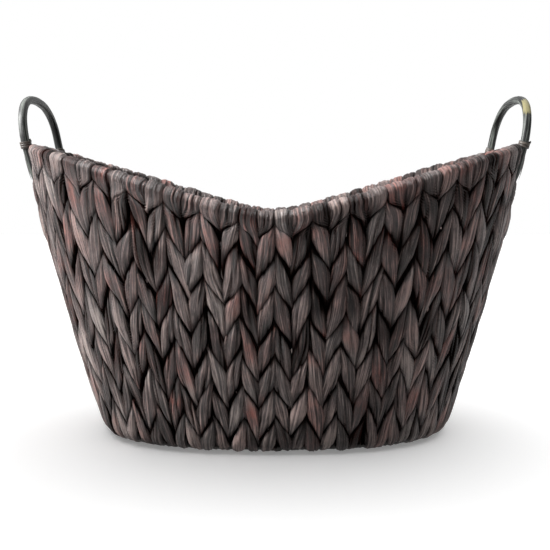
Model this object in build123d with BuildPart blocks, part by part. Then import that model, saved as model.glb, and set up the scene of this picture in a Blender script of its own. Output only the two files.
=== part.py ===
from build123d import *
import math
import os

# A twined water-hyacinth log basket on a wire frame, with two fixed hoop handles.
# Millimetres, +Z up, origin on the floor at the middle of the base.
# X runs along the length, the handles stand at the two ends and -Y is the front.

# Outside of the body, in plan, and the height of the dipped rim
base_length = 417.0
base_width = 280.0
rim_length = 583.0
rim_width = 412.0
rim_height = 267.0
rim_slope = 0.327
rim_dip_half_length = 42.0
rim_end_drop = 5.5
oval_power = 2.5

# The weave: two layers of strand with the wires between them
strand_layer = 4.8
wire_gap = 6.4
rim_loop_height = 7.0
rim_loop_chamfer = 3.0
columns_per_quarter = 10
rim_spacing_bias = -0.1
base_spacing_bias = 0.2

# The wire frame
rim_wire_radius = 2.5
ring_wire_radius = 1.5
upright_wire_radius = 1.3
floor_wire_radius = 1.5
ring_wire_count = 6
rim_wire_drop = 10.0
ring_wire_offset = 1.0
upright_wire_offset = -1.85
wire_bend_radius = 12.0
weld_clearance = 0.1
floor_wire_spacing = 34.0
floor_long_wire_count = 5
floor_cross_wire_count = 9

# The hoop handles and the strand lashed round each foot
handle_radius = 4.75
handle_half_width = 71.0
handle_rise = 52.0
handle_lean = 0.14
handle_arch_power = 2.4
handle_arch_points = 9
handle_offset = 7.4
handle_leg_depth = 90.0
handle_leg_above_rim = 7.0
groove_clearance = 0.25
lashing_clearance = 0.6
lashing_thickness = 1.8
lashing_height = 6.0

wall_thickness = 2 * strand_layer + wire_gap
wall_half = wall_thickness / 2
gap_half = wire_gap / 2
floor_wire_level = strand_layer + gap_half
column_count = 4 * columns_per_quarter
half_count = 2 * columns_per_quarter

os.makedirs("parts", exist_ok=True)


def save(part, label):
    """Name one finished piece and write its STEP file."""
    part.label = label
    export_step(part, f"parts/{label}.step")


def oval_point(half_length, half_width, fraction):
    """Point on the front right quarter of |x/a|^p + |y/b|^p = 1, at a fraction of its length
    from the middle of the front to the end of the basket."""
    steps = 720
    points = []
    for step in range(steps + 1):
        angle = math.pi / 2 * step / steps
        x_share = abs(math.sin(angle) / half_length) ** oval_power
        y_share = abs(math.cos(angle) / half_width) ** oval_power
        reach = (x_share + y_share) ** (-1 / oval_power)
        points.append(Vector(reach * math.sin(angle), -reach * math.cos(angle)))
    runs = [(after - before).length for before, after in zip(points, points[1:])]
    remaining = fraction * sum(runs)
    for start, end, run in zip(points, points[1:], runs):
        if remaining <= run:
            return start + (end - start) * (remaining / run)
        remaining -= run
    return points[-1]


def rim_level(x):
    """Height of the top of the rim: low in the middle of the sides, high at the ends, where it
    levels off."""
    reach = math.hypot(x, rim_dip_half_length) - rim_dip_half_length
    return rim_height + rim_slope * reach - rim_end_drop * (2 * abs(x) / rim_length) ** 4


def edge_point(index, half_length, half_width, spacing_bias):
    """Plan point of one column edge, numbered anticlockwise from the middle of the front."""
    along_half = index % half_count
    q = min(along_half, half_count - along_half) / columns_per_quarter
    point = oval_point(half_length, half_width, q * (1 + spacing_bias * (1 - q)))
    x_sign = 1 if index % column_count <= half_count else -1
    at_front = not columns_per_quarter < index % column_count < 3 * columns_per_quarter
    return Vector(x_sign * point.X, point.Y if at_front else -point.Y)


# The wall's middle surface is ruled between the base oval and the dipped rim.
# Each column edge is one of its straight lines, with a plane square to the wall:
# local x points out of the basket and local y runs up the wall.
base_points = []
rim_points = []
for index in range(column_count):
    base = edge_point(index, base_length / 2 - wall_half, base_width / 2 - wall_half, base_spacing_bias)
    rim = edge_point(index, rim_length / 2 - wall_half, rim_width / 2 - wall_half, rim_spacing_bias)
    base_points.append(base)
    rim_points.append(Vector(rim.X, rim.Y, rim_level(rim.X)))

edge_planes = []
edge_lengths = []
for index in range(column_count):
    after = (index + 1) % column_count
    before = (index - 1) % column_count
    wall_line = rim_points[index] - base_points[index]
    along = (rim_points[after] - rim_points[before]) + (base_points[after] - base_points[before])
    outward = along.cross(wall_line).normalized()
    edge_planes.append(Plane(base_points[index], x_dir=outward, z_dir=outward.cross(wall_line)))
    edge_lengths.append(wall_line.length)


def height_to_run(plane, offset, height):
    """Distance up the wall at which a line at this offset reaches a height above the floor."""
    return (height - offset * plane.x_dir.Z) / plane.y_dir.Z


def wall_point(index, offset, run):
    """Point in space from an edge's offset out of the wall and distance up it."""
    plane = edge_planes[index % column_count]
    return plane.origin + plane.x_dir * offset + plane.y_dir * run


def wire_run(index, level):
    """Distance up the wall of a frame wire: level 0 at the base ring, 1 at the rim wire."""
    start = height_to_run(edge_planes[index % column_count], 0, floor_wire_level)
    end = edge_lengths[index % column_count] - rim_wire_drop
    return start + (end - start) * level


def column_outline(index):
    """Cross-section of the wall at a column edge: an outer leg down to the floor, the loop
    over the rim wire and an inner leg down to the woven floor."""
    plane = edge_planes[index]
    top = edge_lengths[index]
    shoulder = wall_half - rim_loop_chamfer
    return [
        (wall_half, height_to_run(plane, wall_half, 0)),
        (wall_half, top - rim_loop_chamfer),
        (shoulder, top),
        (-shoulder, top),
        (-wall_half, top - rim_loop_chamfer),
        (-wall_half, height_to_run(plane, -wall_half, wall_thickness)),
        (-gap_half, height_to_run(plane, -gap_half, wall_thickness)),
        (-gap_half, top - rim_loop_height),
        (gap_half, top - rim_loop_height),
        (gap_half, height_to_run(plane, gap_half, 0)),
    ]


# Each handle leg lies in one column, on the straight wall line that meets the rim at the
# handle's half width. Numbers are the column, its edge nearer the end and its far edge.
leg_columns = {8: (9, 8), 11: (11, 12), 28: (29, 28), 31: (31, 32)}
leg_planes = {}
leg_tops = {}
for column_number, (near, far) in leg_columns.items():
    near_y = abs(rim_points[near].Y)
    share = (handle_half_width - near_y) / (abs(rim_points[far].Y) - near_y)
    base = base_points[near] + (base_points[far] - base_points[near]) * share
    rim = rim_points[near] + (rim_points[far] - rim_points[near]) * share
    outward_blend = edge_planes[near].x_dir + (edge_planes[far].x_dir - edge_planes[near].x_dir) * share
    leg_line = rim - base
    along = leg_line.cross(outward_blend)
    outward = along.cross(leg_line).normalized()
    leg_planes[column_number] = Plane(base, x_dir=outward, z_dir=outward.cross(leg_line))
    leg_tops[column_number] = leg_line.length


def leg_point(column_number, above_rim):
    """Point on a handle leg's centre line, at a distance above the top of the rim loops."""
    plane = leg_planes[column_number]
    return plane.origin + plane.x_dir * handle_offset + plane.y_dir * (leg_tops[column_number] + above_rim)


# Forty twined columns, each one pair of strands folded over the rim wire.
for number in range(column_count):
    with BuildPart() as column:
        for edge in (number, (number + 1) % column_count):
            with BuildSketch(edge_planes[edge]):
                with BuildLine():
                    Polyline(*column_outline(edge), close=True)
                make_face()
        loft(ruled=True)
        if number in leg_columns:
            leg_direction = leg_planes[number].y_dir
            groove_start = leg_point(number, -handle_leg_depth - groove_clearance)
            with BuildSketch(Plane(groove_start, z_dir=leg_direction)):
                Circle(handle_radius + groove_clearance)
            extrude(amount=handle_leg_depth + rim_loop_height, mode=Mode.SUBTRACT)
    save(column.part, f"column_{number + 1:02d}")


# The woven floor: a lower and an upper layer of strand with the floor wires between them.
with BuildPart() as woven_floor:
    for bottom in (0, strand_layer + wire_gap):
        for level in (bottom, bottom + strand_layer):
            with BuildSketch(Plane.XY.offset(level)):
                with BuildLine():
                    outline = []
                    for index in range(column_count):
                        run = height_to_run(edge_planes[index], gap_half - weld_clearance, level)
                        point = wall_point(index, gap_half - weld_clearance, run)
                        outline.append((point.X, point.Y))
                    Polyline(*outline, close=True)
                make_face()
        loft(ruled=True)
save(woven_floor.part, "woven_floor")


def make_ring(label, offset, level, radius):
    """One closed wire that follows the wall all round at a share of its height."""
    points = [wall_point(index, offset, wire_run(index, level)) for index in range(column_count)]
    with BuildPart() as ring:
        with BuildLine() as path:
            FilletPolyline(*points, radius=wire_bend_radius, close=True)
        with BuildSketch(Plane(path.line @ 0, z_dir=path.line % 0)):
            Circle(radius)
        sweep()
    save(ring.part, label)


make_ring("rim_wire", 0, 1, rim_wire_radius)
make_ring("base_ring_wire", 0, 0, rim_wire_radius)
for number in range(1, ring_wire_count + 1):
    make_ring(f"ring_wire_{number}", ring_wire_offset, number / (ring_wire_count + 1), ring_wire_radius)


# Straight upright wires, welded between the base ring and the rim wire inside the weave.
uprights = {
    "upright_wires_front": (37, 0, 3),
    "upright_wires_right": (7, 10, 13),
    "upright_wires_back": (17, 20, 23),
    "upright_wires_left": (27, 30, 33),
}
for label, edges in uprights.items():
    with BuildPart() as upright_group:
        for edge in edges:
            low = wall_point(edge, upright_wire_offset, wire_run(edge, 0) + rim_wire_radius + weld_clearance)
            high = wall_point(edge, upright_wire_offset, wire_run(edge, 1) - rim_wire_radius - weld_clearance)
            with BuildSketch(Plane(low, z_dir=high - low)):
                Circle(upright_wire_radius)
            extrude(amount=(high - low).length)
    save(upright_group.part, label)


def oval_half_chord(half_across, half_along, across):
    """Half length of the chord of the base oval at a distance across from its middle."""
    return half_along * (1 - (across / half_across) ** oval_power) ** (1 / oval_power)


# Floor wires, the long ones below and the cross ones above, ending at the base ring.
ring_inner_length = base_length / 2 - wall_half - rim_wire_radius - 1
ring_inner_width = base_width / 2 - wall_half - rim_wire_radius - 1
with BuildPart() as floor_long_wires:
    for number in range(floor_long_wire_count):
        y = (number - (floor_long_wire_count - 1) / 2) * floor_wire_spacing
        half = oval_half_chord(ring_inner_width, ring_inner_length, abs(y))
        level = strand_layer + floor_wire_radius + weld_clearance / 2
        with BuildSketch(Plane((-half, y, level), z_dir=(1, 0, 0))):
            Circle(floor_wire_radius)
        extrude(amount=2 * half)
save(floor_long_wires.part, "floor_long_wires")

with BuildPart() as floor_cross_wires:
    for number in range(floor_cross_wire_count):
        x = (number - (floor_cross_wire_count - 1) / 2) * floor_wire_spacing
        half = oval_half_chord(ring_inner_length, ring_inner_width, abs(x))
        level = strand_layer + wire_gap - floor_wire_radius - weld_clearance / 2
        with BuildSketch(Plane((x, -half, level), z_dir=(0, 1, 0))):
            Circle(floor_wire_radius)
        extrude(amount=2 * half)
save(floor_cross_wires.part, "floor_cross_wires")


# The hoop handles: a straight leg down each side of the end, and a full arch that leans out.
for label, (first, second) in {"handle_right": (8, 11), "handle_left": (28, 31)}.items():
    foot_first = leg_point(first, -handle_leg_depth)
    foot_second = leg_point(second, -handle_leg_depth)
    spring_first = leg_point(first, handle_leg_above_rim)
    spring_second = leg_point(second, handle_leg_above_rim)
    middle = (spring_first + spring_second) * 0.5
    half_span = (spring_second - spring_first) * 0.5
    outward_x = math.copysign(handle_lean, middle.X)
    rise = Vector(outward_x, 0, 1).normalized() * handle_rise
    path_points = [foot_first]
    for number in range(handle_arch_points):
        angle = math.pi * number / (handle_arch_points - 1)
        across = -math.copysign(abs(math.cos(angle)) ** (2 / handle_arch_power), math.cos(angle))
        upward = math.sin(angle) ** (2 / handle_arch_power) if 0 < number < handle_arch_points - 1 else 0
        path_points.append(middle + half_span * across + rise * upward)
    path_points.append(foot_second)
    radii = []
    for before, point, after in zip(path_points, path_points[1:], path_points[2:]):
        half_turn = math.radians((point - before).get_angle(after - point)) / 2
        shorter = min((point - before).length, (after - point).length)
        radii.append(0.45 * shorter / math.tan(half_turn))
    with BuildPart() as handle:
        with BuildLine() as path:
            FilletPolyline(*path_points, radius=radii)
        with BuildSketch(Plane(path.line @ 0, z_dir=path.line % 0)):
            Circle(handle_radius)
        sweep()
    save(handle.part, label)


# A strand wound round each handle leg where it meets the rim.
for label, feet in {"lashings_right": (8, 11), "lashings_left": (28, 31)}.items():
    with BuildPart() as lashings:
        for foot in feet:
            with BuildSketch(Plane(leg_point(foot, 1), z_dir=leg_planes[foot].y_dir)):
                Circle(handle_radius + lashing_clearance + lashing_thickness)
                Circle(handle_radius + lashing_clearance, mode=Mode.SUBTRACT)
            extrude(amount=lashing_height)
    save(lashings.part, label)
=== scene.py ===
import math

import bpy
import numpy as np
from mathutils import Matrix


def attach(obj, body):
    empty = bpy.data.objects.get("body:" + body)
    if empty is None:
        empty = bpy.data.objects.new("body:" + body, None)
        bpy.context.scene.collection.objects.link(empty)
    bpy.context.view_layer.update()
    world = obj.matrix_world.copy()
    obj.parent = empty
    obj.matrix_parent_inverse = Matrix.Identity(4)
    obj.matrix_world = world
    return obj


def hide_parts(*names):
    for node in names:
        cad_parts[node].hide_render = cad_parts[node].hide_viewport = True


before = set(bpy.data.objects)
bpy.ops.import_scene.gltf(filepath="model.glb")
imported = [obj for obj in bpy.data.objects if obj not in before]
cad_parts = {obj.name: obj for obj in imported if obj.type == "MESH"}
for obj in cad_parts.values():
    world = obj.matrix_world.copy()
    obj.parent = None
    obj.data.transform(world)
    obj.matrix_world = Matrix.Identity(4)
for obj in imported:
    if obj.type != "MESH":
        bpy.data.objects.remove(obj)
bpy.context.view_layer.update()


# ---- Wire frame -------------------------------------------------------------------------------
# Round mild-steel wire, dipped in black enamel before weaving: rim, base ring, six ring wires,
# uprights and floor wires. It is sealed inside the weave and shows only as dark lines in gaps.

def linear(code):
    """sRGB hex to linear: each channel over 255, then the sRGB curve undone."""
    shares = [int(code[i:i + 2], 16) / 255 for i in (1, 3, 5)]
    return tuple(c / 12.92 if c <= 0.04045 else ((c + 0.055) / 1.055) ** 2.4 for c in shares) + (1.0,)


def add(material, kind, inputs=None, **settings):
    """Add one node, set its properties, and set or link each input given by name or number."""
    node = material.node_tree.nodes.new(kind)
    for key, value in settings.items():
        setattr(node, key, value)
    for key, value in (inputs or {}).items():
        if isinstance(value, bpy.types.NodeSocket):
            material.node_tree.links.new(value, node.inputs[key])
        else:
            node.inputs[key].default_value = value
    return node


def new_material(name):
    """An empty node material with its Principled shader linked to the output."""
    material = bpy.data.materials.new(name)
    material.use_nodes = True
    material.node_tree.nodes.clear()
    shader = add(material, "ShaderNodeBsdfPrincipled")
    add(material, "ShaderNodeOutputMaterial", {"Surface": shader.outputs["BSDF"]})
    return material, shader


def coat(name, material):
    """Give a CAD node its material on the object's own slot."""
    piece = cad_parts[name]
    if not piece.data.materials:
        piece.data.materials.append(None)
    piece.material_slots[0].link = "OBJECT"
    piece.material_slots[0].material = material


# Dipped enamel on drawn wire: almost black, half gloss, with slow dull patches 20 mm across
enamel_wire, shader = new_material("black_enamelled_steel_wire")
place = add(enamel_wire, "ShaderNodeTexCoord").outputs["Object"]
patches = add(enamel_wire, "ShaderNodeTexNoise", {"Vector": place, "Scale": 50.0, "Detail": 3.0})
dulling = add(enamel_wire, "ShaderNodeMapRange",
              {0: patches.outputs[0], 1: 0.3, 2: 0.7, 3: 0.35, 4: 0.6})
enamel_wire.node_tree.links.new(dulling.outputs[0], shader.inputs["Roughness"])
shader.inputs["Base Color"].default_value = linear("#17130f")
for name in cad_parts:
    if "wire" in name:
        coat(name, enamel_wire)


# ---- Twined columns ---------------------------------------------------------------------------
# Forty pairs of ropes, each one flattened stalk of dried, dark-stained water hyacinth folded over
# the rim wire, its two legs crossing between every two ring wires so that a leaf covers each wire.

wall = 0.016                       # whole thickness of the weave
base_half = np.array([0.2085, 0.140]) - wall / 2
rim_half = np.array([0.2915, 0.206]) - wall / 2
oval_power = 2.5
rim_height, rim_slope, rim_dip, rim_end_drop = 0.267, 0.327, 0.042, 0.0055
columns, quarter, rows = 40, 10, 7
rim_wire_drop = 0.010              # rim wire centre below the top of the loops
floor_middle = 0.008               # height of the floor's middle surface
belly = 0.0055                     # how far the wall swells at mid height
foot_bend = 0.012                  # radius of the bend from the wall into the floor


def oval(half, spacing_bias, column):
    """Plan points of |x/a|^p + |y/b|^p = 1 at column numbers counted anticlockwise from the
    middle of the front: the share of a quarter's length is q(1 + bias(1 - q))."""
    angle = np.linspace(0, math.pi / 2, 1201)
    reach = ((np.sin(angle) / half[0]) ** oval_power
             + (np.cos(angle) / half[1]) ** oval_power) ** (-1 / oval_power)
    x, y = reach * np.sin(angle), -reach * np.cos(angle)
    run = np.concatenate([[0], np.cumsum(np.hypot(np.diff(x), np.diff(y)))])
    column = np.mod(column, columns)
    along = np.mod(column, 2 * quarter)
    q = np.minimum(along, 2 * quarter - along) / quarter
    share = q * (1 + spacing_bias * (1 - q)) * run[-1]
    x_sign = np.where(column <= 2 * quarter, 1, -1)
    y_sign = np.where((column > quarter) & (column < 3 * quarter), -1, 1)
    return x_sign * np.interp(share, run, x), y_sign * np.interp(share, run, y)


def rim_top(x):
    """Height of the rim: a hyperbola low at the middle that levels off towards the ends."""
    return (rim_height + rim_slope * (np.hypot(x, rim_dip) - rim_dip)
            - rim_end_drop * (np.abs(x) / (rim_half[0] + wall / 2)) ** 4)


def wall_surface(column, row, out):
    """Points at a column number, a row number up the wall and a distance out of its middle.
    The middle is ruled from base oval to dipped rim, swells by belly * 4v(1 - v), and below
    the foot bend follows a quarter circle and then runs level into the floor."""
    base_x, base_y = oval(base_half, 0.2, column)
    rim_x, rim_y = oval(rim_half, -0.1, column)
    line = np.stack([rim_x - base_x, rim_y - base_y, rim_top(rim_x)], -1)
    length = np.linalg.norm(line, axis=-1)
    up_line = line / length[..., None]
    ahead_x, ahead_y = oval(base_half, 0.2, column + 0.05)
    ahead_rim_x, ahead_rim_y = oval(rim_half, -0.1, column + 0.05)
    along = np.stack([ahead_x - base_x + ahead_rim_x - rim_x,
                      ahead_y - base_y + ahead_rim_y - rim_y, 0 * base_x], -1)
    outward = np.cross(along, up_line)
    outward /= np.linalg.norm(outward, axis=-1)[..., None]
    start = floor_middle / up_line[..., 2]
    run = start + (length - rim_wire_drop - start) * row / rows
    bend_start = start + foot_bend
    past = np.clip(bend_start - run, 0, None)
    turn = np.clip(past / foot_bend, 0, math.pi / 2)
    level = np.clip(past - foot_bend * math.pi / 2, 0, None)
    share = np.clip(run / length, 0, 1)
    flat_in = np.stack([outward[..., 0], outward[..., 1], 0 * turn], -1)
    flat_in /= -np.linalg.norm(flat_in, axis=-1)[..., None]
    swell = belly * 4 * share * (1 - share)
    wall_run = np.maximum(run, bend_start)
    point = np.stack([base_x, base_y, 0 * base_x], -1) + up_line * wall_run[..., None]
    point += flat_in * (foot_bend * (1 - np.cos(turn)) + level)[..., None]
    point -= up_line * (foot_bend * np.sin(turn))[..., None]
    facing = outward * np.cos(turn)[..., None] - up_line * np.sin(turn)[..., None]
    facing[..., 2] = np.where(turn > 1.5, -1, facing[..., 2])
    return point + facing * (out + swell)[..., None]


def strand_rings(path, side, half_width, half_thickness, folds):
    """Rings of a flattened stalk along a path: side is its broad direction, folds is a grid of
    radial factors, and each ring is a rounded rectangle |c|^e, |s|^e with e = 0.8."""
    travel = np.gradient(path, axis=0)
    travel /= np.linalg.norm(travel, axis=1)[:, None]
    broad = side - travel * np.sum(side * travel, axis=1)[:, None]
    broad /= np.linalg.norm(broad, axis=1)[:, None]
    thick = np.cross(broad, travel)
    angle = np.arange(folds.shape[1]) * 2 * math.pi / folds.shape[1]
    across = np.sign(np.cos(angle)) * np.abs(np.cos(angle)) ** 0.8
    through = np.sign(np.sin(angle)) * np.abs(np.sin(angle)) ** 0.8
    return (path[:, None]
            + broad[:, None] * (half_width[:, None] * across * folds)[..., None]
            + thick[:, None] * (half_thickness[:, None] * through * folds)[..., None])


def mesh_of(name, tubes):
    """One mesh from closed tubes. A tube is (rings, stain, metres round, metres along, shift): its
    quads join ring to ring, a fan to a pole closes each end, and its UV is in metres on the
    surface, u = round + that ring's shift."""
    points, stains, starts, totals, corners, texture = [], [], [], [], [], []
    first, corner_count = 0, 0
    for rings, stain, girth, distance, shift in tubes:
        along, around = rings.shape[:2]
        poles = np.stack([rings[0].mean(0), rings[-1].mean(0)])
        points += [rings.reshape(-1, 3), poles]
        stains += [stain.reshape(-1, 3), stain[[0, -1]].mean(1)]
        i, j = np.meshgrid(np.arange(along - 1), np.arange(around), indexing="ij")
        after = (j + 1) % around
        quads = np.stack([i * around + j, (i + 1) * around + j,
                          (i + 1) * around + after, i * around + after], -1).reshape(-1, 4)
        ring = np.stack([i, i + 1, i + 1, i], -1)
        quad_uv = np.stack([np.stack([j, j, j + 1, j + 1], -1) * girth / around + shift[ring],
                            distance[ring]], -1).reshape(-1, 2)
        k = np.arange(around)
        pole = along * around
        low = np.stack([k * 0 + pole, k, (k + 1) % around], -1)
        high = np.stack([k * 0 + pole + 1, pole - around + (k + 1) % around, pole - around + k], -1)
        fan_u = np.stack([k + 0.5, k, k + 1], -1) * girth / around
        low_uv = np.stack([fan_u + shift[0], 0 * fan_u + distance[0]], -1).reshape(-1, 2)
        high_uv = np.stack([fan_u + shift[-1], 0 * fan_u + distance[-1]], -1).reshape(-1, 2)
        corners += [quads.ravel() + first, low.ravel() + first, high.ravel() + first]
        texture.append(np.concatenate([quad_uv, low_uv, high_uv]))
        sizes = np.concatenate([np.full(len(quads), 4), np.full(2 * around, 3)])
        totals.append(sizes)
        starts.append(corner_count + np.concatenate([[0], np.cumsum(sizes)[:-1]]))
        corner_count += sizes.sum()
        first += along * around + 2
    points, corners = np.concatenate(points), np.concatenate(corners)
    starts, totals = np.concatenate(starts), np.concatenate(totals)
    mesh = bpy.data.meshes.new(name)
    mesh.vertices.add(len(points))
    mesh.vertices.foreach_set("co", points.astype(np.float32).ravel())
    mesh.loops.add(len(corners))
    mesh.loops.foreach_set("vertex_index", corners.astype(np.int32))
    mesh.polygons.add(len(starts))
    mesh.polygons.foreach_set("loop_start", starts.astype(np.int32))
    mesh.polygons.foreach_set("loop_total", totals.astype(np.int32))
    mesh.polygons.foreach_set("use_smooth", np.ones(len(starts), bool))
    mesh.update(calc_edges=True)
    layer = mesh.uv_layers.new(name="surface")
    layer.data.foreach_set("uv", np.concatenate(texture).astype(np.float32).ravel())
    stain_layer = mesh.attributes.new("stain", "FLOAT_COLOR", "POINT")
    stain_all = np.concatenate(stains)
    stain_all = np.concatenate([stain_all, np.ones((len(stain_all), 1))], 1)
    stain_layer.data.foreach_set("color", stain_all.astype(np.float32).ravel())
    return mesh


def piece(name, tubes, material, slot, *nodes):
    """A finished piece: its mesh, its material, the body it rides on and the nodes it replaces."""
    thing = bpy.data.objects.new(name, mesh_of(name, tubes))
    bpy.context.scene.collection.objects.link(thing)
    thing.data.materials.append(material)
    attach(thing, "root")
    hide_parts(*nodes)


# Dried water-hyacinth stalk, flattened, twisted damp and dipped in dark brown-black stain: satin
# fibres and creases 5 mm apart run along each strand, and the creases are darkened with painted
# shade. Real fibres are under 1 mm apart, and the coarsest of these are 2.4 mm, so that they show.
# It is redder where the stain is thin, and painted shade darkens it deep in the weave.
hyacinth, shader = new_material("dark_stained_water_hyacinth")
surface = add(hyacinth, "ShaderNodeUVMap", uv_map="surface").outputs[0]
stain = add(hyacinth, "ShaderNodeAttribute", attribute_name="stain").outputs["Color"]
parts = add(hyacinth, "ShaderNodeSeparateColor", {0: stain})
tone_and_painted_shade, redness, coolness = parts.outputs[0], parts.outputs[1], parts.outputs[2]
fibre_place = add(hyacinth, "ShaderNodeMapping", {"Vector": surface, "Scale": (420.0, 14.0, 1.0)})
fibres = add(hyacinth, "ShaderNodeTexNoise",
             {"Vector": fibre_place.outputs[0], "Scale": 1.0, "Detail": 6.0, "Roughness": 0.8})
crease_place = add(hyacinth, "ShaderNodeMapping", {"Vector": surface, "Scale": (200.0, 11.0, 1.0)})
creases = add(hyacinth, "ShaderNodeTexNoise",
              {"Vector": crease_place.outputs[0], "Scale": 1.0, "Detail": 3.0, "Distortion": 0.4},
              noise_type="RIDGED_MULTIFRACTAL")
lines = add(hyacinth, "ShaderNodeMapRange", {0: creases.outputs[0], 1: 0.55, 2: 1.5, 3: 0.0, 4: 1.0})
place = add(hyacinth, "ShaderNodeTexCoord").outputs["Object"]
blotches = add(hyacinth, "ShaderNodeTexNoise", {"Vector": place, "Scale": 70.0, "Detail": 3.0})
# the tone starts from the attribute's first channel: the stalk's own tone with painted shade in grooves,
# folds and leaf edges
tone = add(hyacinth, "ShaderNodeMath", {0: fibres.outputs[0], 1: 3.6, 2: tone_and_painted_shade}, operation="MULTIPLY_ADD")
tone = add(hyacinth, "ShaderNodeMath", {0: blotches.outputs[0], 1: 0.5, 2: tone.outputs[0]},
           operation="MULTIPLY_ADD")
# painted shade: darker along the bumped-in creases
tone = add(hyacinth, "ShaderNodeMath", {0: lines.outputs[0], 1: -0.45, 2: tone.outputs[0]},
           operation="MULTIPLY_ADD")
tone = add(hyacinth, "ShaderNodeMapRange", {0: tone.outputs[0], 1: 1.76, 2: 2.95, 3: 0.0, 4: 1.0})
browns = add(hyacinth, "ShaderNodeValToRGB", {0: tone.outputs[0]})
ramp = browns.color_ramp
ramp.elements[0].position, ramp.elements[0].color = 0.0, linear("#060404")
ramp.elements[1].position, ramp.elements[1].color = 1.0, linear("#94807a")
for position, code in ((0.35, "#1c1614"), (0.65, "#40312f")):
    ramp.elements.new(position).color = linear(code)
cooled = add(hyacinth, "ShaderNodeMix", {0: coolness, 6: browns.outputs[0], 7: linear("#e6f3f4")},
             data_type="RGBA", blend_type="MULTIPLY")
thin_stain = add(hyacinth, "ShaderNodeMath", {0: redness, 1: blotches.outputs[0]}, operation="MULTIPLY")
thin_stain = add(hyacinth, "ShaderNodeMapRange", {0: thin_stain.outputs[0], 1: 0.05, 2: 0.65, 3: 0.0, 4: 1.0})
reddened = add(hyacinth, "ShaderNodeMix",
               {0: thin_stain.outputs[0], 6: cooled.outputs[2], 7: linear("#ffb6aa")},
               data_type="RGBA", blend_type="MULTIPLY")
hyacinth.node_tree.links.new(reddened.outputs[2], shader.inputs["Base Color"])
# painted shade on the shine: the specular level follows the darkened colour, so it is lowest in the grooves,
# folds and leaf edges that carry painted shade
shine_dimmed_in_shade = add(hyacinth, "ShaderNodeMapRange", {0: tone_and_painted_shade, 1: 0.05, 2: 0.5, 3: 0.0, 4: 0.65})
hyacinth.node_tree.links.new(shine_dimmed_in_shade.outputs[0], shader.inputs["Specular IOR Level"])
gloss = add(hyacinth, "ShaderNodeMapRange", {0: fibres.outputs[0], 1: 0.35, 2: 0.65, 3: 0.6, 4: 0.3})
hyacinth.node_tree.links.new(gloss.outputs[0], shader.inputs["Roughness"])
crease_bump = add(hyacinth, "ShaderNodeBump",
                  {"Strength": 1.0, "Distance": 0.0022, "Height": lines.outputs[0]}, invert=True)
fibre_bump = add(hyacinth, "ShaderNodeBump",
                 {"Strength": 1.0, "Distance": 0.0050, "Height": fibres.outputs[0],
                  "Normal": crease_bump.outputs[0]})
hyacinth.node_tree.links.new(fibre_bump.outputs[0], shader.inputs["Normal"])

steps_per_row = 14                 # rings in one row's height
arc, chord = 28, 6                 # points on a strand's outer arc and on the chord behind it
column_width = 0.038               # of one column near the rim, roughly
stalk_depth = 0.0073               # from the middle of the wall to the outside of a leaf
stalk_rim_swell = 0.0022           # how much more where a stalk is folded over the rim wire
stalk_half_arc = 0.0125            # half the width of a flattened stalk, measured round its arc
stalk_girth = 0.034                # all the way round a stalk
stalk_length = 0.62                # of a wall stalk, roughly: over the rim and down both sides
grain_carry = 0.0062               # metres that the grain slips round a stalk for each radian it turns
draws = np.random.default_rng(7)
handle_half_width, handle_offset = 0.071, 0.0074


def leg_frame(near, far):
    """A handle leg's foot, outward and upward directions and length: it follows the straight wall
    line between two column edges that meets the rim where |y| is the handle's half width."""
    edges = np.array([near, far])
    base = np.stack([*oval(base_half, 0.2, edges), [0, 0]], -1)
    rim_x, rim_y = oval(rim_half, -0.1, edges)
    rim = np.stack([rim_x, rim_y, rim_top(rim_x)], -1)
    facing = wall_surface(edges, 6.5, 0.001) - wall_surface(edges, 6.5, 0.0)
    share = (handle_half_width - abs(rim_y[0])) / (abs(rim_y[1]) - abs(rim_y[0]))
    base, rim, facing = (pair[0] + (pair[1] - pair[0]) * share for pair in (base, rim, facing))
    length = np.linalg.norm(rim - base)
    up = (rim - base) / length
    outward = facing - up * np.dot(facing, up)
    outward /= np.linalg.norm(outward)
    return {"base": base, "up": up, "outward": outward, "length": length,
            "column": near + (far - near) * share}


legs = [leg_frame(near, far) for near, far in ((9, 8), (11, 12), (29, 28), (31, 32))]


def slow_noise(count, spacing):
    """Smooth random values along a strand: draws every few rings, joined by cosine easing."""
    knots = np.clip(draws.normal(size=count // spacing + 3), -1.8, 1.8)
    at = np.arange(count) / spacing
    low = at.astype(int)
    ease = (1 - np.cos((at - low) * math.pi)) / 2
    return knots[low] * (1 - ease) + knots[low + 1] * ease


def strand_relief(across):
    """Depth in metres of the dried stalk's furrows at distances across it, per ring: three sets of
    cosine waves 2.6 to 7 mm apart whose strength drifts along it, and three sharp folds."""
    count = len(across)
    relief = np.zeros(across.shape)
    for spacing, size in ((0.0026, 0.00026), (0.0043, 0.00036), (0.0071, 0.00055)):
        phase = draws.uniform(0, 2 * math.pi) + 0.9 * slow_noise(count, 16)
        strength = size * (1 + 0.6 * slow_noise(count, 9))
        relief += strength[:, None] * (1 + np.cos(2 * math.pi * across / spacing + phase[:, None])) / 2
    folds = np.zeros(across.shape)
    for _ in range(3):
        centre = draws.uniform(0, 0.024) + 0.002 * slow_noise(count, 12)
        gap = np.mod(across - centre[:, None] + 0.012, 0.024) - 0.012
        folds += np.clip(0.6 + 0.5 * slow_noise(count, 10), 0, 1)[:, None] * np.exp(-(gap / 0.0009) ** 2)
    return relief + 0.0014 * folds, folds


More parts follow.
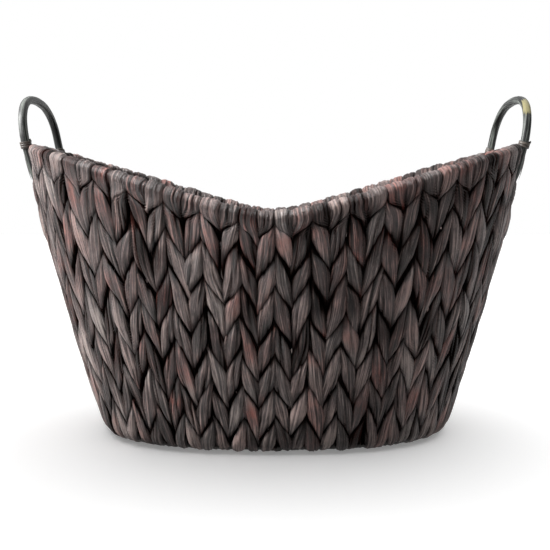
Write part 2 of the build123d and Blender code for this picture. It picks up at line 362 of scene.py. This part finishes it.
def twined_section(turn, reach, depth, lead, relief, free):
    """Section of one of two stalks twined together, along and out of the wall: an arc of 186
    degrees about its turn, and a chord back that leaves the middle free for the wire. An angle a
    lies at x = 0.65 of its share of a right angle + 0.35 sin a, on |x|^3 + |out|^3 = 1; the depth
    is drawn in to a share at the arc's edges, less where free is 0, at the rim."""
    u = np.linspace(1, -1, arc)
    angle = turn[:, None] + math.radians(93) * u
    edge = np.where(u * lead > 0, 0.66, 0.46)
    edge = 0.95 + (edge - 0.95) * free[:, None]
    share = 1 - (1 - edge) * np.abs(u) ** 4
    x = 0.65 * np.arcsin(np.sin(angle)) / (math.pi / 2) + 0.35 * np.sin(angle)
    face = np.sign(np.cos(angle)) * np.clip(1 - np.abs(x) ** 3, 0, 1) ** (1 / 3)
    along = reach[:, None] * x * share ** 0.18 - relief * np.sin(angle)
    out = depth[:, None] * face * share - relief * np.cos(angle)
    step = np.linspace(0, 1, chord + 2)[1:-1]
    hollow = 0.0020 * np.sin(math.pi * step)
    back_along = along[:, -1:] * (1 - step) + along[:, :1] * step + np.sin(turn)[:, None] * hollow
    back_out = out[:, -1:] * (1 - step) + out[:, :1] * step + np.cos(turn)[:, None] * hollow
    return np.hstack([along, back_along]), np.hstack([out, back_out])


def end_taper(count):
    """Scale of each ring: full, but narrowed over the last four rings at both ends."""
    return np.clip(np.minimum(np.arange(count), np.arange(count)[::-1]) / 5 + 0.25, 0, 1)


def rope(number):
    """One stalk folded over the rim wire, its two legs twined. Each leg turns half round the other
    for every row down, so it covers a wire in front, then one behind; neighbouring ropes turn
    opposite ways. Over the rim the section's outward direction swings over the rim wire."""
    slant = 1 if number % 2 == 0 else -1
    down = np.linspace(0, rows + 0.75, int((rows + 0.75) * steps_per_row) + 1)
    # a leg hangs straight off the rim and turns steadily from half a row down, 0.26 of a row ahead:
    # leaves have their middles that far above each ring wire, and the legs cross just below it
    start = np.clip((down - 0.02) / 0.5, 0, 1)
    jitter = 0.12 * slow_noise(len(down), steps_per_row) * np.clip(down / 0.6, 0, 1)
    phase = (down + 0.26 + jitter) * start ** 2 * (3 - 2 * start)
    loop = np.linspace(0, math.pi, 11)[1:-1]
    row = np.concatenate([rows - down[::-1], rows + 0 * loop, rows - down])
    swing = np.concatenate([0 * down, loop, 0 * down + math.pi])
    turn = slant * math.pi * np.concatenate([phase[::-1], 0 * loop, -phase])
    count = len(row)
    free = np.clip((rows - row) / 0.5, 0, 1)
    turn = turn + 0.14 * slow_noise(count, steps_per_row) * free
    column = (number + 0.5) / 2 + 0.032 * slow_noise(count, steps_per_row) * free
    middle = wall_surface(column, row, 0.0)
    ahead = wall_surface(column + 0.02, row, 0.0) - middle
    cell = np.linalg.norm(ahead, axis=1) / 0.02 / 2
    along_wall = ahead / np.linalg.norm(ahead, axis=1)[:, None]
    outward = wall_surface(column, row, 0.001) - middle
    outward -= along_wall * np.sum(outward * along_wall, axis=1)[:, None]
    outward /= np.linalg.norm(outward, axis=1)[:, None]
    upward = np.cross(outward, along_wall)
    facing = outward * np.cos(swing)[:, None] + upward * np.sin(swing)[:, None]
    distance = np.linspace(0, stalk_length, count) + draws.uniform(0, 5)
    shift = -grain_carry * turn
    across = np.linspace(1, -1, arc) * stalk_half_arc - shift[:, None]
    relief, folds = strand_relief(across)
    ends = end_taper(count)
    reach = 0.5 * cell * (1.27 + 0.08 * slow_noise(count, steps_per_row)) * ends
    depth = stalk_depth * (1 + 0.09 * slow_noise(count, steps_per_row))
    depth = (depth + stalk_rim_swell * np.sin(swing)) * ends
    lead = slant * np.where(swing > math.pi / 2, -1, 1)[:, None]
    along, out = twined_section(turn, reach, depth, lead, relief, free)
    proud = np.abs(out)
    outer = np.clip(out * np.cos(swing)[:, None] / stalk_depth, 0, 1)
    # leaves over a handle leg lift 3 mm where it lies under them and lie 5.5 mm back above that
    for leg in legs:
        gap = np.mod(column[:, None] + along / cell[:, None] / 2 - leg["column"] + columns / 2, columns)
        gap = (gap - columns / 2) * column_width
        under = 1 / (1 + np.exp(-(6.45 - row) / 0.08)) / (1 + np.exp(-(row - 4.7) / 0.12))
        aside = 0.0030 * under - 0.0055 * (1 - under) * (row > 6)
        out = out + np.exp(-(gap / 0.009) ** 2) * outer * (aside * np.cos(swing))[:, None]
    rings = middle[:, None] + along_wall[:, None] * along[..., None] + facing[:, None] * out[..., None]
    # painted shade: the colour is darkened where a stalk lies deep in the weave, in the grooves and gaps
    # between leaves; the upper wall is redder and the base is cooler
    painted_groove_shade = 1 - np.clip((proud - 0.0025) / 0.0035, 0, 1)
    height = middle[:, 2] / 0.33
    tint = 0.57 - 0.14 * height + 0.17 * slow_noise(count, steps_per_row)
    redness = np.clip(0.06 + 0.38 * height ** 2 + 0.50 * slow_noise(count, steps_per_row), 0, 1.4)
    coolness = np.clip(0.60 - 0.8 * height + 0.5 * slow_noise(count, steps_per_row), 0, 1)
    tone_and_painted_shade = tint[:, None] - 0.6 * painted_groove_shade
    # painted shade: darker along each sharp fold of a stalk and at the edges of each leaf where it turns
    # under its neighbour; the edge shade fades out over the rim
    edges = np.abs(np.linspace(1, -1, arc)) ** 8
    tone_and_painted_shade[:, :arc] -= 0.25 * folds + 0.30 * edges * free[:, None]
    stain = np.stack([tone_and_painted_shade, redness[:, None] + 0 * tone_and_painted_shade, coolness[:, None] + 0 * tone_and_painted_shade], 2)
    # the lowest ropes are pressed flat by the basket's weight
    rings[..., 2] = np.maximum(rings[..., 2], 0.0004)
    return rings, stain, stalk_girth, distance, shift


for number in range(columns):
    ropes = [rope(2 * number), rope(2 * number + 1)]
    label = f"column_{number + 1:02d}"
    piece(f"twined_{label}", ropes, hyacinth, "water_hyacinth", label)


# ---- Woven floor ------------------------------------------------------------------------------
# The same stalks twined round the long floor wires from front to back, ending at the base ring.
# Made like the wall's ropes, lying flat, with one leaf over each long floor wire.

rope_width, wire_spacing = 0.017, 0.034
steps_per_wire = 9                 # rings from one long floor wire to the next
floor_reach = base_half - 0.002


def floor_rope(number, x):
    """Two stalks twined along Y at one X, half a turn for every long floor wire."""
    half = floor_reach[1] * (1 - (abs(x) / floor_reach[0]) ** oval_power) ** (1 / oval_power)
    slant = 1 if number % 2 == 0 else -1
    count = int(2 * half / wire_spacing * steps_per_wire)
    y = np.linspace(-half, half, count)
    middle = np.stack([x + 0 * y, y, floor_middle + 0 * y], -1)
    along_floor, facing = np.array([1.0, 0, 0]), np.array([0, 0, 1.0])
    tubes = []
    for leg in (0, 1):
        turn = slant * math.pi * (y / wire_spacing + leg)
        distance = y + draws.uniform(0, 5)
        shift = -grain_carry * turn
        relief = strand_relief(np.linspace(1, -1, arc) * stalk_half_arc - shift[:, None])[0]
        ends = end_taper(count)
        reach = 0.5 * rope_width * (1.13 + 0.05 * slow_noise(count, steps_per_wire)) * ends
        depth = 0.0071 * ends
        along, out = twined_section(turn, reach, depth, slant, relief, 0 * y + 1)
        rings = middle[:, None] + along_floor * along[..., None] + facing * out[..., None]
        tint = 0.45 + 0.12 * slow_noise(count, steps_per_wire)
        redness = np.clip(0.1 + 0.3 * slow_noise(count, steps_per_wire), 0, 1)
        # painted shade: the colour is darkened where a stalk lies deep in the weave, between the leaves
        tone_and_painted_shade = tint[:, None] - 0.6 * (1 - np.clip((np.abs(out) - 0.0025) / 0.0035, 0, 1))
        stain = np.stack([tone_and_painted_shade, redness[:, None] + 0 * tone_and_painted_shade, 0.5 + 0 * tone_and_painted_shade], 2)
        tubes.append((rings, stain, stalk_girth, distance, shift))
    return tubes


floor_ropes = []
rope_count = int(2 * floor_reach[0] / rope_width)
for number in range(rope_count):
    floor_ropes += floor_rope(number, (number - (rope_count - 1) / 2) * rope_width)
piece("twined_floor", floor_ropes, hyacinth, "water_hyacinth", "woven_floor")


# ---- Hoop handles -----------------------------------------------------------------------------
# Each is one 9.5 mm rod of cane bent into a hoop and pushed down between the weave and the frame,
# dipped in the same stain, which is worn grey in streaks and bare on the right hoop's shoulder.

handle_radius, handle_rise, handle_lean = 0.00475, 0.052, 0.14
arch_power, arch_points = 2.4, 9
leg_depth, leg_above_rim = 0.090, 0.007
cane_girth = 0.0298                # all the way round the rod

# Stained cane rod: near black and rather dull, with grey streaks 2 mm wide where it has rubbed
cane, shader = new_material("dark_stained_cane")
surface = add(cane, "ShaderNodeUVMap", uv_map="surface").outputs[0]
wear = add(cane, "ShaderNodeAttribute", attribute_name="stain").outputs["Color"]
wear = add(cane, "ShaderNodeSeparateColor", {0: wear})
streak_place = add(cane, "ShaderNodeMapping", {"Vector": surface, "Scale": (520.0, 22.0, 1.0)})
streaks = add(cane, "ShaderNodeTexNoise",
              {"Vector": streak_place.outputs[0], "Scale": 1.0, "Detail": 4.0, "Roughness": 0.6})
cane_colour = add(cane, "ShaderNodeValToRGB", {0: streaks.outputs[0]})
ramp = cane_colour.color_ramp
ramp.elements[0].position, ramp.elements[0].color = 0.47, linear("#070808")
ramp.elements[1].position, ramp.elements[1].color = 0.68, linear("#60645f")
rubbed = add(cane, "ShaderNodeMath", {0: streaks.outputs[0], 1: 0.9, 2: wear.outputs[1]},
             operation="MULTIPLY_ADD")
rubbed = add(cane, "ShaderNodeMapRange", {0: rubbed.outputs[0], 1: 0.85, 2: 1.05, 3: 0.0, 4: 1.0})
bare = add(cane, "ShaderNodeMix",
           {0: rubbed.outputs[0], 6: cane_colour.outputs[0], 7: linear("#6c6647")}, data_type="RGBA")
cane.node_tree.links.new(bare.outputs[2], shader.inputs["Base Color"])
shader.inputs["Roughness"].default_value = 0.5
shader.inputs["Specular IOR Level"].default_value = 0.3
streak_bump = add(cane, "ShaderNodeBump", {"Strength": 0.6, "Distance": 0.0006, "Height": streaks.outputs[0]})
cane.node_tree.links.new(streak_bump.outputs[0], shader.inputs["Normal"])


def leg_point(leg, above_rim, offset=handle_offset):
    """Point on a leg's line, a distance above the top of the rim loops."""
    return leg["base"] + leg["outward"] * offset + leg["up"] * (leg["length"] + above_rim)


def hoop_path(first, second):
    """Corner points: two feet and an arch |x|^p + |y|^p = 1 on the springing line, leaning out.
    Each corner is rounded by a parabola over 0.45 of its shorter run."""
    springs = [leg_point(leg, leg_above_rim) for leg in (first, second)]
    middle, half_span = (springs[0] + springs[1]) / 2, (springs[1] - springs[0]) / 2
    rise = np.array([math.copysign(handle_lean, middle[0]), 0, 1])
    rise *= handle_rise / np.linalg.norm(rise)
    angle = np.linspace(0, math.pi, arch_points)
    across = -np.sign(np.cos(angle)) * np.abs(np.cos(angle)) ** (2 / arch_power)
    upward = np.clip(np.sin(angle), 0, 1) ** (2 / arch_power)
    upward[[0, -1]] = 0
    arch = middle + half_span * across[:, None] + rise * upward[:, None]
    corners = np.vstack([leg_point(first, -leg_depth), arch, leg_point(second, -leg_depth)])
    share = np.linspace(0, 1, 9)[:, None]
    points = [corners[:1]]
    for before, corner, after in zip(corners, corners[1:], corners[2:]):
        reach = 0.45 * min(np.linalg.norm(before - corner), np.linalg.norm(after - corner))
        start = corner + (before - corner) / np.linalg.norm(before - corner) * reach
        end = corner + (after - corner) / np.linalg.norm(after - corner) * reach
        points.append(start * (1 - share) ** 2 + 2 * corner * share * (1 - share) + end * share ** 2)
    path = np.vstack(points + [corners[-1:]])
    run = np.concatenate([[0], np.cumsum(np.linalg.norm(np.diff(path, axis=0), axis=1))])
    even = np.linspace(0, run[-1], int(run[-1] / 0.0025))
    return np.stack([np.interp(even, run, path[:, axis]) for axis in range(3)], -1), even


for label, (first, second), bare_at in (("handle_right", legs[:2], 0.352), ("handle_left", legs[2:], -1)):
    path, distance = hoop_path(first, second)
    count = len(path)
    knots = np.exp(-((np.mod(distance, 0.118) - 0.059) / 0.0014) ** 2)
    radius = handle_radius * (0.965 + 0.025 * knots)
    # below the rim each leg eases 5 mm inward, under the leaves that hold it
    buried = np.clip((0.066 - np.minimum(distance, distance[-1] - distance)) / 0.040, 0, 1)
    buried = 0.005 * buried ** 2 * (3 - 2 * buried)
    inward = np.where((distance < distance[-1] / 2)[:, None], first["outward"], second["outward"])
    path = path - inward * buried[:, None]
    spokes = np.arange(24) * 2 * math.pi / 24
    ridges = 1 + 0.008 * np.cos(7 * spokes) * np.ones((count, 1)) + 0.006 * np.cos(11 * spokes + 1)
    side = np.tile(first["outward"], (count, 1))
    rings = strand_rings(path, side, radius, radius, ridges)
    centre = rings.mean(1)
    across = rings - centre[:, None]
    frontness = np.clip(-across[..., 1] / handle_radius + 0.5, 0, 1)
    place_along = distance / distance[-1]
    worn = np.exp(-((place_along - bare_at) / 0.045) ** 4)[:, None] * frontness
    stain = np.stack([0 * worn, worn * 0.75, 0 * worn], 2)
    piece(f"cane_{label}", [(rings, stain, cane_girth, distance, 0 * distance)], cane, "cane_handle", label)


# ---- Strand lashings --------------------------------------------------------------------------
# A thin brown strip of the same stalk, 3 mm wide, is wound two and a half or three turns round each
# leg where it leaves the rim; its ends go down over the rim, one inside and one outside.

strip_half_width, strip_half_thickness, strip_girth = 0.0016, 0.0006, 0.007

# Dried stalk split thin: brown and half dull, with fine fibres along it
strip, shader = new_material("brown_dried_stalk_strip")
surface = add(strip, "ShaderNodeUVMap", uv_map="surface").outputs[0]
strip_place = add(strip, "ShaderNodeMapping", {"Vector": surface, "Scale": (1400.0, 40.0, 1.0)})
strip_fibres = add(strip, "ShaderNodeTexNoise",
                   {"Vector": strip_place.outputs[0], "Scale": 1.0, "Detail": 3.0})
strip_colour = add(strip, "ShaderNodeValToRGB", {0: strip_fibres.outputs[0]})
ramp = strip_colour.color_ramp
ramp.elements[0].position, ramp.elements[0].color = 0.3, linear("#1c1817")
ramp.elements[1].position, ramp.elements[1].color = 0.75, linear("#50473f")
strip.node_tree.links.new(strip_colour.outputs[0], shader.inputs["Base Color"])
shader.inputs["Roughness"].default_value = 0.5
strip_bump = add(strip, "ShaderNodeBump",
                 {"Strength": 0.7, "Distance": 0.0004, "Height": strip_fibres.outputs[0]})
strip.node_tree.links.new(strip_bump.outputs[0], shader.inputs["Normal"])


def lashing(leg, turns, spread):
    """A strip from inside the rim, over its top, round the leg as a helix of the given turns, and
    down the outside; the corner points are joined by a Catmull-Rom curve."""
    column = leg["column"]
    tangent = np.cross(leg["up"], leg["outward"])
    angle = np.linspace(-0.5 * math.pi, (2 * turns - 0.5) * math.pi, int(turns * 12))
    climb = np.linspace(-0.0030, 0.0040, len(angle))
    ring = handle_radius + 0.0011
    helix = [leg_point(leg, rise, handle_offset + ring * math.sin(turn)) + tangent * ring * math.cos(turn)
             for turn, rise in zip(angle, climb)]
    inside = [wall_surface(column - spread, row, out) for row, out in
              ((6.35, -0.0092), (6.8, -0.0096), (7.12, -0.0050))]
    outside = [wall_surface(column + spread * step, row, out) for step, row, out in
               ((0.6, 7.12, 0.0050), (0.9, 6.95, 0.0096), (1.15, 6.6, 0.0100), (1.3, 6.3, 0.0088))]
    knots = np.array(inside + helix + outside)
    knots = np.vstack([2 * knots[0] - knots[1], knots, 2 * knots[-1] - knots[-2]])
    share = np.linspace(0, 1, 5)[:-1, None]
    path = []
    for a, b, c, d in zip(knots, knots[1:], knots[2:], knots[3:]):
        path.append(0.5 * (2 * b + (c - a) * share + (2 * a - 5 * b + 4 * c - d) * share ** 2
                           + (3 * b - a - 3 * c + d) * share ** 3))
    path = np.vstack(path)
    side = np.tile(leg["up"] + 0.5 * tangent, (len(path), 1))
    taper = np.clip(np.minimum(np.arange(len(path)), np.arange(len(path))[::-1]) / 6 + 0.2, 0, 1)
    rings = strand_rings(path, side, strip_half_width * taper, strip_half_thickness * taper,
                         np.ones((len(path), 10)))
    distance = np.concatenate([[0], np.cumsum(np.linalg.norm(np.diff(path, axis=0), axis=1))])
    return rings, np.zeros(rings.shape), strip_girth, distance, 0 * distance


for label, pair in (("lashings_right", legs[:2]), ("lashings_left", legs[2:])):
    strips = [lashing(pair[0], 2.5, 0.22), lashing(pair[1], 3.0, -0.26)]
    piece(f"strand_{label}", strips, strip, "lashing", label)


# ---- Studio -----------------------------------------------------------------------------------
# A plain pale floor, one large soft light high on the left and a weaker one on the right, in a
# room that glows from above and from behind the basket.

mesh = bpy.data.meshes.new("floor")
mesh.from_pydata([(-6, -6, 0), (6, -6, 0), (6, 6, 0), (-6, 6, 0)], [], [(0, 1, 2, 3)])
floor = bpy.data.objects.new("floor", mesh)
bpy.context.scene.collection.objects.link(floor)
# Matte paper that glows a little, so that shadows on it stay faint
paper, shader = new_material("pale_backdrop_paper")
shader.inputs["Base Color"].default_value = linear("#fafafa")
shader.inputs["Roughness"].default_value = 0.9
shader.inputs["Emission Color"].default_value = linear("#ffffff")
shader.inputs["Emission Strength"].default_value = 0.22
floor.data.materials.append(paper)

world = bpy.data.worlds.new("studio")
bpy.context.scene.world = world
world.use_nodes = True
sky = add(world, "ShaderNodeTexCoord").outputs["Generated"]
toward = add(world, "ShaderNodeSeparateXYZ", {0: sky}).outputs["Y"]
glow = add(world, "ShaderNodeMapRange", {0: toward, 1: 0.1, 2: 0.6, 3: 0.05, 4: 1.0},
           interpolation_type="SMOOTHSTEP")
above = add(world, "ShaderNodeSeparateXYZ", {0: sky}).outputs["Z"]
overhead = add(world, "ShaderNodeMapRange", {0: above, 1: 0.6, 2: 0.95, 3: 0.0, 4: 2.05},
               interpolation_type="SMOOTHSTEP")
glow = add(world, "ShaderNodeMath", {0: glow.outputs[0], 1: overhead.outputs[0]}, operation="ADD")
world.node_tree.links.new(glow.outputs[0], world.node_tree.nodes["Background"].inputs[0])
bpy.context.scene.view_settings.view_transform = "Standard"

# the two lamps light the basket only, and the floor is lit by the room
room_lit = bpy.data.collections.new("lit_by_the_room_alone")
room_lit.objects.link(floor)
room_lit.collection_objects[0].light_linking.link_state = "EXCLUDE"

for name, place, size, power in (("key", (-2.2, -0.6, 1.65), 1.2, 285.0),
                                 ("fill", (1.8, -1.4, 1.2), 1.6, 1.0)):
    lamp = bpy.data.lights.new(name, "AREA")
    lamp.size, lamp.energy = size, power
    light = bpy.data.objects.new(name, lamp)
    light.location = place
    light.light_linking.receiver_collection = room_lit
    aim = np.array([0, 0, 0.15]) - np.array(place)
    light.rotation_euler = (math.atan2(math.hypot(aim[0], aim[1]), -aim[2]), 0, math.atan2(-aim[0], aim[1]))
    bpy.context.scene.collection.objects.link(light)

camera_data = bpy.data.cameras.new("camera")
camera_data.lens, camera_data.sensor_width = 53.35, 36.0
camera = bpy.data.objects.new("camera", camera_data)
camera.location = (0, -1.0, 0.2715)
camera.rotation_euler = (math.radians(90 - 4.98), 0, 0)
bpy.context.scene.collection.objects.link(camera)
bpy.context.scene.camera = camera
